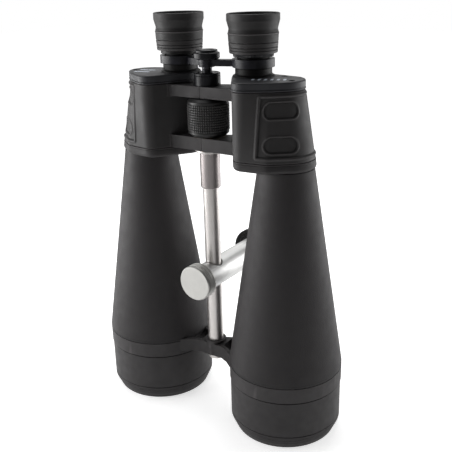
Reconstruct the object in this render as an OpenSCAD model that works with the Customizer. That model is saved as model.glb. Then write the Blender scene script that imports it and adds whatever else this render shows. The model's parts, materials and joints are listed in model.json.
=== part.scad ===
// Astronomy binoculars: two Porro prism tubes on a central hinge, with a focusing bridge,
// a support rod between the tubes and a tripod post that slides along the rod.
// Z runs up the hinge axis towards the eyepieces, X towards the right tube and Y towards the
// side with the tripod foot. The origin is where the hinge axis meets the plane of the
// objective rims, on which the binoculars stand. Every size is in millimetres.

/* [Optical axes] */
// Distance of each objective axis from the plane between the tubes
objective_x = 70.4; // [70:0.1:71]
// Offset of the objective axes towards the foot side
objective_y = 6.3; // [6:0.1:6.6]
// Distance of each eyepiece axis from the plane between the tubes
eyepiece_x = 36.8; // [36.6:0.1:37]
// Offset of the eyepiece axes towards the foot side
eyepiece_y = 12.4; // [12.2:0.1:12.6]

/* [Objective end] */
// Radius of the objective lenses' free aperture
aperture_r = 40; // [36:0.5:40]
// Radius of the rim that stands on the table
rim_r = 44; // [43:0.5:44.5]
// Radius of the cell above its ribs
cell_r = 48.4; // [47.5:0.1:48.8]
// Height of the ribbed part of the cell
ribs_top = 13; // [11:0.5:14]
// Height of the top of the cell
cell_top = 46.5; // [45:0.5:46.5]
// Radius of the brace bands and of the foot of the cones
tube_r = 49; // [48.8:0.1:49.5]
// Height of the top of the brace bands
band_top = 59.9; // [59:0.1:60.5]
// Height where the cones begin
cone_z = 62.2; // [61.5:0.1:63]

/* [Prism housings] */
// Height where the cones enter the housings
cone_top = 235; // [233:0.5:236]
// Radius of the cones where they enter the housings
cone_top_r = 23.1; // [22.5:0.1:23.3]
// Height of the foot of the prism housings
housing_z0 = 243.2; // [243:0.1:243.4]
// Height of the top of the prism housings
housing_z1 = 297; // [296.6:0.1:297.4]
// Height of the top of the cover plates
cover_top = 304.3; // [303.8:0.1:304.6]
// Thickness of the rubber armour
armour_t = 1.8; // [1.5:0.1:2]
// Wall thickness of the housing castings
wall = 1.8; // [1.5:0.1:2]

/* [Hinge] */
// Front face of the hinge lugs, measured from the hinge axis
lug_front = 11.6; // [11:0.1:12]
// Radius of the hinge knuckles
knuckle_r = 9; // [8.5:0.1:9.3]
// Radius of the hinge axle
axle_r = 6; // [5.5:0.1:6.2]
// Height of the lower lugs, bottom and top
lower_lug = [243.4, 254.3];
// Height of the upper lugs, bottom and top
upper_lug = [287, 296.2];

/* [Focusing] */
// Radius of the focus wheel
wheel_r = 17.5; // [17:0.1:18]
// Radius of the focusing spindle
spindle_r = 4.2; // [4:0.1:4.4]
// Travel of the focusing bridge each way
focus_travel = 4; // [3:0.5:4]
// Height of the underside of the bridge arms
arm_z = 311.7; // [311.5:0.1:312]
// Thickness of the bridge arms
arm_t = 5.1; // [4.8:0.1:5.2]

/* [Eyepieces] */
// Outer radius of the fixed guide sleeves
guide_r = 14.8; // [14.6:0.1:14.9]
// Radius of the sliding eyepiece tubes
slide_r = 13.25; // [13:0.05:13.3]
// Radius of the rings that hold the eyepieces
holder_r = 17; // [16.8:0.1:17.3]
// Height of the foot of the eyecups
eyecup_z = 322.3; // [322.2:0.1:323]
// Height of the eyecup rims
eyecup_top = 352.4; // [350:0.1:354]
// Radius of the eyecup rims
eyecup_r = 21; // [20:0.1:21.5]

/* [Rod and tripod post] */
// Radius of the support rod
rod_r = 6.95; // [6.9:0.05:7]
// Radius of the thick sleeve at the head of the rod
sleeve_r = 8.6; // [8.4:0.1:9]
// Height of the foot of the thick sleeve
sleeve_z = 209.9; // [205:0.1:215]
// Height of the tripod post's centre line
post_z = 129.7; // [120:0.1:150]
// Radius of the tripod post
post_r = 12.1; // [12:0.1:12.5]
// Radius of the clamp knob
knob_r = 15.7; // [15:0.1:17]
// Radius of the tripod foot
foot_r = 20.2; // [19:0.1:21]
// Distance of the foot's front face behind the hinge axis
foot_y = 64; // [62:0.5:66]

/* [Hidden] */
$fn = 96;
arc_steps = 12;         // facets of each rounded corner of the housings
fine = 400;             // facets of the lenses' spheres, which are large and shallow
run = 0.05;             // radial clearance of a running fit
seat = 0.02;            // gap between pieces that are fixed together
over = 1;               // how far a cutter runs past the face it cuts

// Circles whose tight loop is the plan of one half, counter-clockwise from the nose:
// [x, y, radius] at the housing's foot and at its top.
nose_circle = [[47, -17, 10], [47, -17, 10]];
front_circle = [[66, -14, 10], [62.5, -8, 10]];
outer_circle = [[objective_x, objective_y, 23.4], [66, 6.5, 18.3]];
eye_circle = [[eyepiece_x, eyepiece_y, 17.5], [eyepiece_x, eyepiece_y, 17.5]];
plan_circles = [nose_circle, front_circle, outer_circle, eye_circle];

cover_z = housing_z1 + 0.3;
cover_lip = 0.3;        // overhang of the cover plate
cover_chamfer = 1.2;
base_z = cone_top + 0.1;
base_top = housing_z0 - 0.2;
base_round = 3;         // how far the base plate's lower edge is drawn in
base_round_h = 4.5;
base_floor = 3;
neck_r = 22;            // neck of the cone inside the base plate
neck_bore = 20.5;
neck_top = base_top;

// Folded light path: the two prisms shift the beam by equal, perpendicular steps.
beam_in = [objective_x, objective_y];
beam_out = [eyepiece_x, eyepiece_y];
beam_shift = beam_out - beam_in;
beam_mid = beam_in + (beam_shift + [-beam_shift[1], beam_shift[0]]) / 2;
upper_prism_at = (beam_in + beam_mid) / 2;
lower_prism_at = (beam_mid + beam_out) / 2;
upper_prism_turn = atan2(beam_mid[1] - beam_in[1], beam_mid[0] - beam_in[0]);
lower_prism_turn = upper_prism_turn - 90;
prism_half_l = 22;
prism_half_w = 11;
prism_h = 18.5;         // height to the ground-off apex
shelf_z0 = 268.7;
shelf_z1 = 271.3;
beam_window_r = 9.5;
clip_w = 6;
clip_t = 0.8;
clip_gap = 0.1;

// Lugs: the right half's knuckles fill the upper tier of each lug, the left half's the lower.
seam = 0.15;            // half of the gap between the two lugs' front faces
tier_gap = 0.05;        // half of the gap between the two tiers
knuckle_gap = 0.1;
lug_reach = 42;
lug_back = [[lug_reach, 13], [15, 12], [4.6, 8]];
lug_window = 0.2;       // gap between the armour and a lug

// Objective tube
band_z = cell_top + 0.1;
band_bore = 46.05;
band_seat_r = 46;
tube_bore = 43;
tube_wall = 2.4;
cell_bore = 41.6;
cell_spigot_r = 42.95;
cell_spigot_top = 56;
hood_r = 42;            // mouth of the cell below the lens
lens_r = 41.5;
lens_z = 15;
crown_h = 10;
flint_h = 7;
lens_gap = 0.2;
lens_edge = 3;          // thickness of the crown lens at its edge
lens_sag = crown_h - lens_edge;
crown_curve_r = (pow(lens_r, 2) + pow(lens_sag / 2, 2)) / lens_sag;
retainer_h = 4;

// Brace between the tubes, with an eye round the rod
brace_z = 50;
brace_top = 62;
eye_top = 64.5;
eye_r = 9.5;
eye_split = 57.25;      // height where the left eye ends and the right eye begins
arm_front = [[3, -9], [11.3, -8.6], [19.1, -11.7], [29, -19], [40, -19]];
arm_back = [[40, 24], [26, 19.5], [4.6, 8.6]];
arm_window = [[12, -5.6], [19, -8], [25, -11.5], [25, 15.5], [12, 8]];

// Hinge axle and focusing
axle_z0 = 227;
axle_bore_z = 258;
axle_top = 302;
collar_r = 10.8;
collar_z = upper_lug[1] + 0.1;
collar_top = 306.5;
wheel_z0 = 255.5;
wheel_z1 = 286;
wheel_band = 4.2;       // smooth, chamfered band at each end of the wheel
wheel_chamfer = 1.4;
core_r = 14;
key_z = 271;
key_r = 1.5;
key_half_l = 8;
key_room_r = 8.5;       // recess in the wheel core round the key's ends
key_room_z0 = key_z - focus_travel - key_r - 1;
key_room_z1 = key_z + focus_travel + key_r + 1;
spindle_z0 = 263;
cap_z = 319.5;
cap_r = 10.7;
cap_top = 322.3;
cap_button_r = 9;
cap_button_top = 324.5;
hub_r = 6.6;
hub_z0 = 311;
hub_split = arm_z + arm_t / 2;
arm_w = 8;

// Eyepieces
guide_flange_r = 17;
guide_flange_h = 1.6;
guide_z0 = cover_z;
guide_bore = slide_r + run;
guide_top = 311.8;
holder_z0 = 311.5;
holder_z1 = 318;
holder_web_z = guide_top + focus_travel + 0.4;
holder_bore = 15;
slide_top = 318.4;
slide_step_z = 297;
slide_step_r = 12.2;
slide_z0 = 287;
slide_bore = 12;
stop_r = 9.6;
stop_z = 309;
ocular_r = slide_bore - run;
ocular_z0 = 310.5;
ocular_head_r = 14.5;
ocular_head_z = 319.5;
ocular_top = 340;
ocular_bore = 10.5;
dioptre_z0 = 319.1;
dioptre_z1 = 322.1;
dioptre_r = 16.2;
field_lens_z = 313;
eye_lens_z = 330;
small_lens_r = 10.45;
small_lens_h = 6;
small_lens_edge = 2.4;
small_sag = small_lens_h - small_lens_edge;
small_curve_r = (pow(small_lens_r, 2) + pow(small_sag / 2, 2)) / small_sag;
cup_bore = ocular_head_r + 0.1;

// Rod
flange_r = 12;
flange_z0 = 241;
rod_top = 226;
nut_r = 7.3;
nut_z0 = 45.4;
nut_z1 = 49.8;
stud_r = 4;
stud_z0 = 46.8;

// Tripod post
post_front = -17.8;
bush_r = 8.2;
bush_half_l = 8.5;
bush_window_r = 4;
screw_r = 3;
pad_y = -7.05;
pad_h = 1.4;
knob_y0 = -29;
knob_y1 = -18.3;
knob_chamfer = 1.2;
foot_t = 6;
insert_r = 5;
insert_y0 = 55;
thread_r = 2.55;        // tapping-drill radius of a 1/4 inch 20 tripod thread
thread_depth = 12;

// Cover screws
screw_places = [[77.9, 1.1], [60.7, 20.4]];
screw_head_r = 2.4;
screw_head_z = 303.4;
screw_head_h = 1.4;
screw_shank_r = 1.3;
screw_foot = 299;

// ---- helpers ----

module left() { mirror([1, 0, 0]) children(); }

module on_objective() { translate([objective_x, objective_y, 0]) children(); }

module on_eyepiece() { translate([eyepiece_x, eyepiece_y, 0]) children(); }

// Cylinder between two heights.
module disc(r, z0, z1) { translate([0, 0, z0]) cylinder(r = r, h = z1 - z0); }

// Cylinder along Y between two distances, at the post's height.
module rear_disc(r, y0, y1) {
    translate([0, y0, post_z]) rotate([-90, 0, 0]) cylinder(r = r, h = y1 - y0);
}

module tube(r, bore, z0, z1) {
    difference() {
        disc(r, z0, z1);
        disc(bore, z0 - over, z1 + over);
    }
}

// Direction of the outward normal of the line that touches circles a and b, going round
// counter-clockwise from a to b.
function touch_angle(a, b) =
    let (step = [b[0] - a[0], b[1] - a[1]])
    atan2(step[1], step[0]) - 90 + asin((a[2] - b[2]) / norm(step));

// Points on circle c between the directions from and to.
function arc(c, from, to) =
    let (sweep = (to - from + 720) % 360)
    [for (k = [0 : arc_steps])
        let (angle = from + sweep * k / arc_steps)
        [c[0] + c[2] * cos(angle), c[1] + c[2] * sin(angle)]];

// Outline of one half: the tight loop round its circles, blended between the housing's
// foot (t = 0) and top (t = 1) and drawn in by inset.
function plan_outline(t, inset) =
    let (circles = [for (c = plan_circles) c[0] * (1 - t) + c[1] * t - [0, 0, inset]],
         count = len(circles))
    [for (i = [0 : count - 1])
        each arc(circles[i],
                 touch_angle(circles[(i + count - 1) % count], circles[i]),
                 touch_angle(circles[i], circles[(i + 1) % count]))];

// Solid through a stack of outlines, each level given as [height, t, inset].
module plan_loft(levels) {
    n = len(plan_outline(0, 0));
    points = [for (level = levels) for (p = plan_outline(level[1], level[2]))
        [p[0], p[1], level[0]]];
    top = (len(levels) - 1) * n;
    sides = [for (j = [0 : len(levels) - 2]) for (i = [0 : n - 1])
        let (here = j * n + i, next = j * n + (i + 1) % n)
        each [[here, here + n, next + n], [here, next + n, next]]];
    polyhedron(points, concat([[for (i = [0 : n - 1]) i]],
                              [[for (i = [n - 1 : -1 : 0]) top + i]], sides));
}

function splay(z) = (z - housing_z0) / (housing_z1 - housing_z0);

// Splayed solid that follows the housing's outer wall, drawn in by inset.
module splayed_solid(z0, z1, inset) {
    plan_loft([[z0, splay(z0), inset], [z1, splay(z1), inset]]);
}

// ---- hinge and rod ----

module hinge_axle() {
    color("dimgray") difference() {
        disc(axle_r, axle_z0, axle_top);
        disc(spindle_r + run, axle_bore_z, axle_top + over);
        translate([-axle_r - over, -key_r - run, key_room_z0])
            cube([2 * (axle_r + over), 2 * (key_r + run), key_room_z1 - key_room_z0]);
    }
}

module top_collar() {
    chamfer = 1;
    color("black") difference() {
        union() {
            disc(collar_r, collar_z, collar_top - chamfer);
            translate([0, 0, collar_top - chamfer])
                cylinder(r1 = collar_r, r2 = collar_r - chamfer, h = chamfer);
        }
        disc(axle_r + seat, collar_z - over, axle_top + seat);
        disc(spindle_r + run, collar_z, collar_top + over);
    }
}

module rod_flange() {
    color("silver") tube(flange_r, axle_r + seat, flange_z0, lower_lug[0] - 0.1);
}

module rod_sleeve() {
    color("silver") difference() {
        disc(sleeve_r, sleeve_z, flange_z0 - seat);
        disc(axle_r + seat, rod_top, flange_z0 + over);
        disc(rod_r + seat, sleeve_z - over, rod_top + seat);
    }
}

module support_rod() {
    color("silver") {
        disc(rod_r, nut_z1 + seat, rod_top);
        disc(stud_r, stud_z0, nut_z1 + over);
    }
}

module rod_end_nut() {
    chamfer = 0.8;
    color("silver") difference() {
        union() {
            disc(nut_r, nut_z0 + chamfer, nut_z1);
            translate([0, 0, nut_z0])
                cylinder(r1 = nut_r - chamfer, r2 = nut_r, h = chamfer);
        }
        disc(stud_r + seat, stud_z0 - seat, nut_z1 + over);
    }
}

// ---- focusing ----

module focus_wheel() {
    color("dimgray") difference() {
        union() {
            disc(wheel_r, wheel_z0 + wheel_band, wheel_z1 - wheel_band);
            disc(wheel_r - 0.6, wheel_z0 + wheel_chamfer, wheel_z1 - wheel_chamfer);
            translate([0, 0, wheel_z0])
                cylinder(r1 = wheel_r - 0.6 - wheel_chamfer, r2 = wheel_r - 0.6, h = wheel_chamfer);
            translate([0, 0, wheel_z1 - wheel_chamfer])
                cylinder(r1 = wheel_r - 0.6, r2 = wheel_r - 0.6 - wheel_chamfer, h = wheel_chamfer);
        }
        disc(core_r + seat, wheel_z0 - over, wheel_z1 + over);
    }
}

module wheel_core() {
    color("goldenrod") difference() {
        disc(core_r, wheel_z0 + seat, wheel_z1 - seat);
        disc(axle_r + run, wheel_z0 - over, wheel_z1 + over);
        disc(key_room_r, key_room_z0, key_room_z1);
    }
}

module focus_spindle() {
    color("dimgray") difference() {
        disc(spindle_r, spindle_z0, cap_z);
        translate([-spindle_r - over, 0, key_z]) rotate([0, 90, 0])
            cylinder(r = key_r + seat, h = 2 * (spindle_r + over));
    }
}

module spindle_key() {
    color("gold") translate([-key_half_l, 0, key_z]) rotate([0, 90, 0])
        cylinder(r = key_r, h = 2 * key_half_l);
}

module bridge_cap() {
    chamfer = 0.9;
    neck = 5.6;
    color("black") difference() {
        union() {
            disc(neck, arm_z + arm_t + 0.1, cap_z + over);
            disc(cap_r, cap_z, cap_top - chamfer);
            translate([0, 0, cap_top - chamfer])
                cylinder(r1 = cap_r, r2 = cap_r - chamfer, h = chamfer);
            disc(cap_button_r, cap_z, cap_button_top);
        }
        disc(spindle_r + seat, arm_z, cap_z + seat);
    }
}

// ---- prism housings ----

module lug_plan(front, reach) {
    polygon(concat([[seam, -front], [reach, -front]], lug_back));
}

// One lug: a block outside the knuckle, and a knuckle in its own tier.
module lug(span, upper_tier) {
    split = (span[0] + span[1]) / 2;
    z0 = upper_tier ? split + tier_gap : span[0];
    z1 = upper_tier ? span[1] : split - tier_gap;
    difference() {
        translate([0, 0, span[0]]) linear_extrude(span[1] - span[0]) lug_plan(lug_front, lug_reach);
        disc(knuckle_r + knuckle_gap, span[0] - over, span[1] + over);
    }
    disc(knuckle_r, z0, z1);
    translate([0, 0, z0]) linear_extrude(z1 - z0) lug_plan(lug_front, lug_reach);
}

module prism_housing(upper_tier) {
    skin = armour_t + 0.1;
    color("dimgray") difference() {
        union() {
            splayed_solid(housing_z0, housing_z1, skin);
            lug(lower_lug, upper_tier);
            lug(upper_lug, upper_tier);
        }
        splayed_solid(shelf_z1, housing_z1 + over, skin + wall);
        splayed_solid(housing_z0 - over, shelf_z0, skin + wall);
        for (beam = [beam_in, beam_mid, beam_out])
            translate(beam) disc(beam_window_r, shelf_z0 - over, shelf_z1 + over);
        disc(axle_r + run, lower_lug[0] - over, upper_lug[1] + over);
    }
}

// Rubber skin round the housing, open where the lugs come out.
module housing_armour() {
    color("darkslategray") difference() {
        splayed_solid(housing_z0, housing_z1, 0);
        plan_loft([[housing_z0 - over, 0, armour_t], [housing_z0, 0, armour_t],
                   [housing_z1, 1, armour_t], [housing_z1 + over, 1, armour_t]]);
        for (span = [[housing_z0 - over, lower_lug[1] + lug_window],
                     [upper_lug[0] - lug_window, housing_z1 + over]])
            translate([0, -lug_front - lug_window, span[0]])
                cube([lug_reach + 2, lug_front + lug_back[0][1] + 2 * lug_window,
                      span[1] - span[0]]);
    }
}

module cover_plate() {
    color("dimgray") difference() {
        plan_loft([[cover_z, 1, -cover_lip], [cover_top - cover_chamfer, 1, -cover_lip],
                   [cover_top, 1, cover_chamfer - cover_lip]]);
        on_eyepiece() disc(guide_r + seat, cover_z - over, cover_top + over);
        for (place = screw_places) translate(place) {
            disc(screw_head_r + 0.3, screw_head_z - screw_head_h - seat, cover_top + over);
            disc(screw_shank_r + 0.1, cover_z - over, cover_top);
        }
    }
}

module cover_screws() {
    color("black") for (place = screw_places) translate(place) {
        difference() {
            disc(screw_head_r, screw_head_z - screw_head_h, screw_head_z);
            disc(screw_head_r / 2, screw_head_z - screw_head_h / 2, screw_head_z + over, $fn = 6);
        }
        disc(screw_shank_r, screw_foot, screw_head_z - screw_head_h / 2);
    }
}

// Closes the housing's foot, with a rounded lower edge and a ring that holds the cone's neck.
module base_plate() {
    rounding = [for (a = [0 : 22.5 : 90])
        [base_z + base_round_h * (1 - cos(a)), 0, base_round * (1 - sin(a))]];
    floor_z = base_z + base_floor;
    color("dimgray") difference() {
        union() {
            plan_loft(concat(rounding, [[base_top, 0, 0]]));
            on_objective() disc(cone_top_r, base_z, base_top);
        }
        difference() {
            plan_loft([[floor_z, 0, base_round + wall], [base_top + over, 0, base_round + wall]]);
            on_objective() disc(neck_r + wall, base_z, base_top + 2 * over);
        }
        on_objective() disc(neck_r + seat, base_z - over, base_top + 2 * over);
    }
}

module eyepiece_guide() {
    color("dimgray") on_eyepiece() difference() {
        union() {
            disc(guide_r, guide_z0, guide_top);
            translate([0, 0, cover_top + seat])
                cylinder(r1 = guide_flange_r, r2 = guide_r, h = guide_flange_h);
        }
        disc(guide_bore, guide_z0 - over, guide_top + over);
    }
}

// ---- prisms ----

// Right-angle prism on its long face, with rounded ends and a ground-off apex.
module porro_prism() {
    intersection() {
        rotate([90, 0, 0]) translate([0, 0, -prism_half_w])
            linear_extrude(2 * prism_half_w)
                polygon([[-prism_half_l, 0], [prism_half_l, 0],
                         [prism_half_l - prism_h, prism_h], [prism_h - prism_half_l, prism_h]]);
        union() {
            for (end = [-1, 1])
                translate([end * (prism_half_l - prism_half_w), 0, 0])
                    cylinder(r = prism_half_w, h = prism_h);
            translate([prism_half_w - prism_half_l, -prism_half_w, 0])
                cube([2 * (prism_half_l - prism_half_w), 2 * prism_half_w, prism_h]);
        }
    }
}

module at_upper_prism() {
    translate([upper_prism_at[0], upper_prism_at[1], shelf_z1 + seat])
        rotate(upper_prism_turn) children();
}

module at_lower_prism() {
    translate([lower_prism_at[0], lower_prism_at[1], shelf_z0 - seat])
        rotate(lower_prism_turn) mirror([0, 0, 1]) children();
}

module objective_prism() { color("lightcyan") at_upper_prism() porro_prism(); }

module eyepiece_prism() { color("lightcyan") at_lower_prism() porro_prism(); }

// Spring strap over a prism's apex, with its legs on the shelf.
module prism_clip() {
    inner = prism_half_w + clip_gap;
    roof = prism_h + clip_gap;
    difference() {
        translate([-clip_w / 2, -inner - clip_t, 0])
            cube([clip_w, 2 * (inner + clip_t), roof + clip_t]);
        translate([-clip_w / 2 - over, -inner, -over])
            cube([clip_w + 2 * over, 2 * inner, roof + over]);
    }
}

module prism_clips() {
    color("gainsboro") {
        at_upper_prism() prism_clip();
        at_lower_prism() prism_clip();
    }
}

// ---- objective tubes ----

module objective_barrel() {
    slope = (cone_top_r - tube_r) / (cone_top - cone_z);
    color("dimgray") on_objective() rotate_extrude() polygon([
        [tube_bore, band_z], [band_seat_r, band_z], [band_seat_r, cone_z - 0.3],
        [tube_r - 0.3, cone_z - 0.3], [tube_r, cone_z], [cone_top_r, cone_top],
        [neck_r, cone_top], [neck_r, neck_top], [neck_bore, neck_top],
        [neck_bore, cone_top], [tube_r - tube_wall + slope * tube_wall, cone_z + tube_wall],
        [tube_bore, cone_z]
    ]);
}

module objective_cell() {
    rib = 0.5;
    color("dimgray") on_objective() rotate_extrude() polygon([
        [rim_r - 1.4, 0], [rim_r, 0], [rim_r + 2, 4.5], [rim_r + 2.4, 7],
        [rim_r + 2.4 - rib, 7], [rim_r + 2.4 - rib, 7.5], [rim_r + 3.4, 7.5], [rim_r + 3.6, 9],
        [rim_r + 3.6 - rib, 9], [rim_r + 3.6 - rib, 9.5], [cell_r, 9.5],
        [cell_r, ribs_top - rib], [cell_r - rib, ribs_top - rib],
        [cell_r - rib, ribs_top], [cell_r, ribs_top], [cell_r, cell_top],
        [cell_spigot_r, cell_top], [cell_spigot_r, cell_spigot_top],
        [cell_bore, cell_spigot_top], [cell_bore, lens_z - seat],
        [aperture_r, lens_z - seat], [aperture_r, lens_z - 2], [hood_r, lens_z - 6]
    ]);
}

module crown_lens() {
    mid = lens_z + crown_h / 2;
    rise = crown_curve_r - crown_h / 2;
    color("lightcyan") on_objective() intersection() {
        disc(lens_r, lens_z - over, lens_z + crown_h + over);
        translate([0, 0, mid + rise]) sphere(r = crown_curve_r, $fn = fine);
        translate([0, 0, mid - rise]) sphere(r = crown_curve_r, $fn = fine);
    }
}

// Dished towards the crown lens, flat above.
module flint_lens() {
    mid = lens_z + crown_h / 2;
    rise = crown_curve_r - crown_h / 2;
    color("lightcyan") on_objective() difference() {
        disc(lens_r, mid + lens_edge / 2 + lens_gap, lens_z + crown_h + flint_h - lens_sag / 2);
        translate([0, 0, mid - rise + lens_gap]) sphere(r = crown_curve_r, $fn = fine);
    }
}

module lens_retainer() {
    z0 = lens_z + crown_h + flint_h - lens_sag / 2 + seat;
    color("dimgray") on_objective() tube(cell_bore - seat, aperture_r - 0.5, z0, z0 + retainer_h);
}

// Plan of the braces' arms, from the eye to the band.
module brace_plan() {
    difference() {
        polygon(concat(arm_front, arm_back));
        polygon(arm_window);
    }
}

module objective_brace(upper_tier) {
    z0 = upper_tier ? eye_split + tier_gap : brace_z;
    z1 = upper_tier ? eye_top : eye_split - tier_gap;
    color("dimgray") difference() {
        union() {
            on_objective() disc(tube_r, band_z, band_top);
            difference() {
                translate([0, 0, brace_z]) linear_extrude(brace_top - brace_z) brace_plan();
                disc(eye_r + knuckle_gap, brace_z - over, brace_top + over);
                on_objective() disc(tube_r + 0.15, band_top, brace_top + over);
            }
            intersection() {
                translate([0, 0, brace_z]) linear_extrude(brace_top - brace_z) brace_plan();
                disc(eye_r + over, z0, z1);
            }
            disc(eye_r, z0, z1);
        }
        on_objective() disc(band_bore, band_z - over, brace_top + over);
        disc(rod_r + run, brace_z - over, eye_top + over);
    }
}

// ---- focusing bridge and eyepieces ----

module bridge_arm(upper_tier) {
    z0 = upper_tier ? hub_split + tier_gap : hub_z0;
    z1 = upper_tier ? arm_z + arm_t : hub_split - tier_gap;
    reach = norm([eyepiece_x, eyepiece_y]);
    turn = atan2(eyepiece_y, eyepiece_x);
    color("black") difference() {
        union() {
            difference() {
                rotate(turn) translate([0, -arm_w / 2, arm_z]) cube([reach, arm_w, arm_t]);
                disc(hub_r + knuckle_gap, arm_z - over, arm_z + arm_t + over);
            }
            rotate(turn) translate([spindle_r, -arm_w / 2, max(z0, arm_z)])
                cube([hub_r, arm_w, z1 - max(z0, arm_z)]);
            disc(hub_r, z0, z1);
            on_eyepiece() disc(holder_r, holder_z0, holder_z1);
        }
        disc(spindle_r + run, hub_z0 - over, arm_z + arm_t + over);
        on_eyepiece() disc(holder_bore, holder_z0 - over, holder_web_z);
        on_eyepiece() disc(slide_r + seat, holder_z0, holder_z1 + over);
    }
}

module eyepiece_tube() {
    color("dimgray") on_eyepiece() difference() {
        union() {
            disc(slide_r, slide_step_z, slide_top);
            disc(slide_step_r, slide_z0, slide_step_z + over);
        }
        disc(slide_bore, stop_z, slide_top + over);
        disc(stop_r, slide_z0 - over, slide_top);
        disc(slide_step_r - 1.4, slide_z0 - over, stop_z - 2);
    }
}

// Head of the eyepiece; the left one carries a fixed collar in place of the dioptre ring.
module ocular_tube(fixed_collar) {
    lens_room = small_lens_h + 0.4;
    color("black") on_eyepiece() difference() {
        union() {
            disc(ocular_r, ocular_z0, ocular_head_z + over);
            disc(ocular_head_r, ocular_head_z, ocular_top);
            if (fixed_collar) disc(dioptre_r, dioptre_z0 + 0.4, dioptre_z1);
        }
        disc(ocular_bore, ocular_z0 - over, eye_lens_z + lens_room);
        disc(small_lens_r - 1.4, ocular_z0, ocular_top + over);
        translate([0, 0, eye_lens_z + lens_room + 1])
            cylinder(r1 = small_lens_r - 1.4, r2 = small_lens_r + 1.8,
                     h = ocular_top - eye_lens_z - lens_room);
    }
}

module small_lens(z) {
    rise = small_curve_r - small_lens_h / 2;
    mid = z + small_lens_h / 2;
    color("lightcyan") on_eyepiece() intersection() {
        disc(small_lens_r, z - over, z + small_lens_h + over);
        translate([0, 0, mid + rise]) sphere(r = small_curve_r);
        translate([0, 0, mid - rise]) sphere(r = small_curve_r);
    }
}

module dioptre_ring() {
    color("black") on_eyepiece() tube(dioptre_r, ocular_head_r + run, dioptre_z0 + 0.6, dioptre_z1);
}

// Soft eyecup: straight body, a waist, then a band that flares to the rim.
module eyecup() {
    color("darkslategray") on_eyepiece() rotate_extrude() polygon([
        [cup_bore, eyecup_z], [19.3, eyecup_z], [20, eyecup_top - 14.8],
        [19.6, eyecup_top - 11.2], [eyecup_r, eyecup_top - 5.5], [eyecup_r, eyecup_top - 0.8],
        [eyecup_r - 0.8, eyecup_top], [eyecup_r - 1.8, eyecup_top - 0.4],
        [eyecup_r - 2.4, eyecup_top - 5.5], [17.6, eyecup_top - 11.2], [17.2, ocular_top - 4],
        [cup_bore, ocular_top - 5]
    ]);
}

// ---- tripod post ----

module post_bush() {
    color("black") difference() {
        tube(bush_r, rod_r + run, post_z - bush_half_l, post_z + bush_half_l);
        rear_disc(bush_window_r, -bush_r - over, 0);
    }
}

module tripod_post() {
    color("gainsboro") difference() {
        rear_disc(post_r, post_front, foot_y - seat);
        disc(bush_r + run, post_z - post_r - over, post_z + post_r + over);
        rear_disc(screw_r + run, post_front - over, 0);
        rear_disc(insert_r + seat, insert_y0 - seat, foot_y + over);
    }
}

module foot_disc() {
    groove_w = 1;
    groove_d = 0.6;
    color("black") difference() {
        rear_disc(foot_r, foot_y, foot_y + foot_t);
        rear_disc(insert_r + seat, foot_y - over, foot_y + foot_t + over);
        for (r = [14.2, 16.6]) difference() {
            rear_disc(r + groove_w, foot_y - over, foot_y + groove_d);
            rear_disc(r, foot_y - 2 * over, foot_y + over);
        }
    }
}

module tripod_insert() {
    color("goldenrod") difference() {
        rear_disc(insert_r, insert_y0, foot_y + foot_t);
        rear_disc(thread_r, foot_y + foot_t - thread_depth, foot_y + foot_t + over);
    }
}

module pressure_pad() {
    color("dimgray") rear_disc(screw_r - 0.1, pad_y - pad_h, pad_y);
}

module clamp_knob() {
    color("gainsboro") {
        rear_disc(knob_r, knob_y0 + knob_chamfer, knob_y1 - knob_chamfer);
        translate([0, knob_y0, post_z]) rotate([-90, 0, 0])
            cylinder(r1 = knob_r - knob_chamfer, r2 = knob_r, h = knob_chamfer);
        translate([0, knob_y1 - knob_chamfer, post_z]) rotate([-90, 0, 0])
            cylinder(r1 = knob_r, r2 = knob_r - knob_chamfer, h = knob_chamfer);
        rear_disc(screw_r, knob_y1 - over, pad_y - pad_h - seat);
    }
}

// ---- nodes ----

hinge_axle();
top_collar();
rod_flange();
rod_sleeve();
support_rod();
rod_end_nut();
focus_wheel();
wheel_core();
focus_spindle();
spindle_key();
bridge_cap();
prism_housing(true);  // prism_housing_right
housing_armour();  // housing_armour_right
cover_plate();  // cover_plate_right
cover_screws();  // cover_screws_right
base_plate();  // base_plate_right
eyepiece_guide();  // eyepiece_guide_right
objective_barrel();  // objective_barrel_right
objective_brace(true);  // objective_brace_right
objective_cell();  // objective_cell_right
crown_lens();  // crown_lens_right
flint_lens();  // flint_lens_right
lens_retainer();  // lens_retainer_right
objective_prism();  // objective_prism_right
eyepiece_prism();  // eyepiece_prism_right
prism_clips();  // prism_clips_right
left() prism_housing(false);  // prism_housing_left
left() housing_armour();  // housing_armour_left
left() cover_plate();  // cover_plate_left
left() cover_screws();  // cover_screws_left
left() base_plate();  // base_plate_left
left() eyepiece_guide();  // eyepiece_guide_left
left() objective_barrel();  // objective_barrel_left
left() objective_brace(false);  // objective_brace_left
left() objective_cell();  // objective_cell_left
left() crown_lens();  // crown_lens_left
left() flint_lens();  // flint_lens_left
left() lens_retainer();  // lens_retainer_left
left() objective_prism();  // objective_prism_left
left() eyepiece_prism();  // eyepiece_prism_left
left() prism_clips();  // prism_clips_left
bridge_arm(true);  // bridge_arm_right
eyepiece_tube();  // eyepiece_tube_right
ocular_tube(false);  // ocular_tube_right
small_lens(field_lens_z);  // field_lens_right
small_lens(eye_lens_z);  // eye_lens_right
dioptre_ring();
eyecup();  // eyecup_right
left() bridge_arm(false);  // bridge_arm_left
left() eyepiece_tube();  // eyepiece_tube_left
left() ocular_tube(true);  // ocular_tube_left
left() small_lens(field_lens_z);  // field_lens_left
left() small_lens(eye_lens_z);  // eye_lens_left
left() eyecup();  // eyecup_left
post_bush();
tripod_post();
foot_disc();
tripod_insert();
pressure_pad();
clamp_knob();
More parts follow.
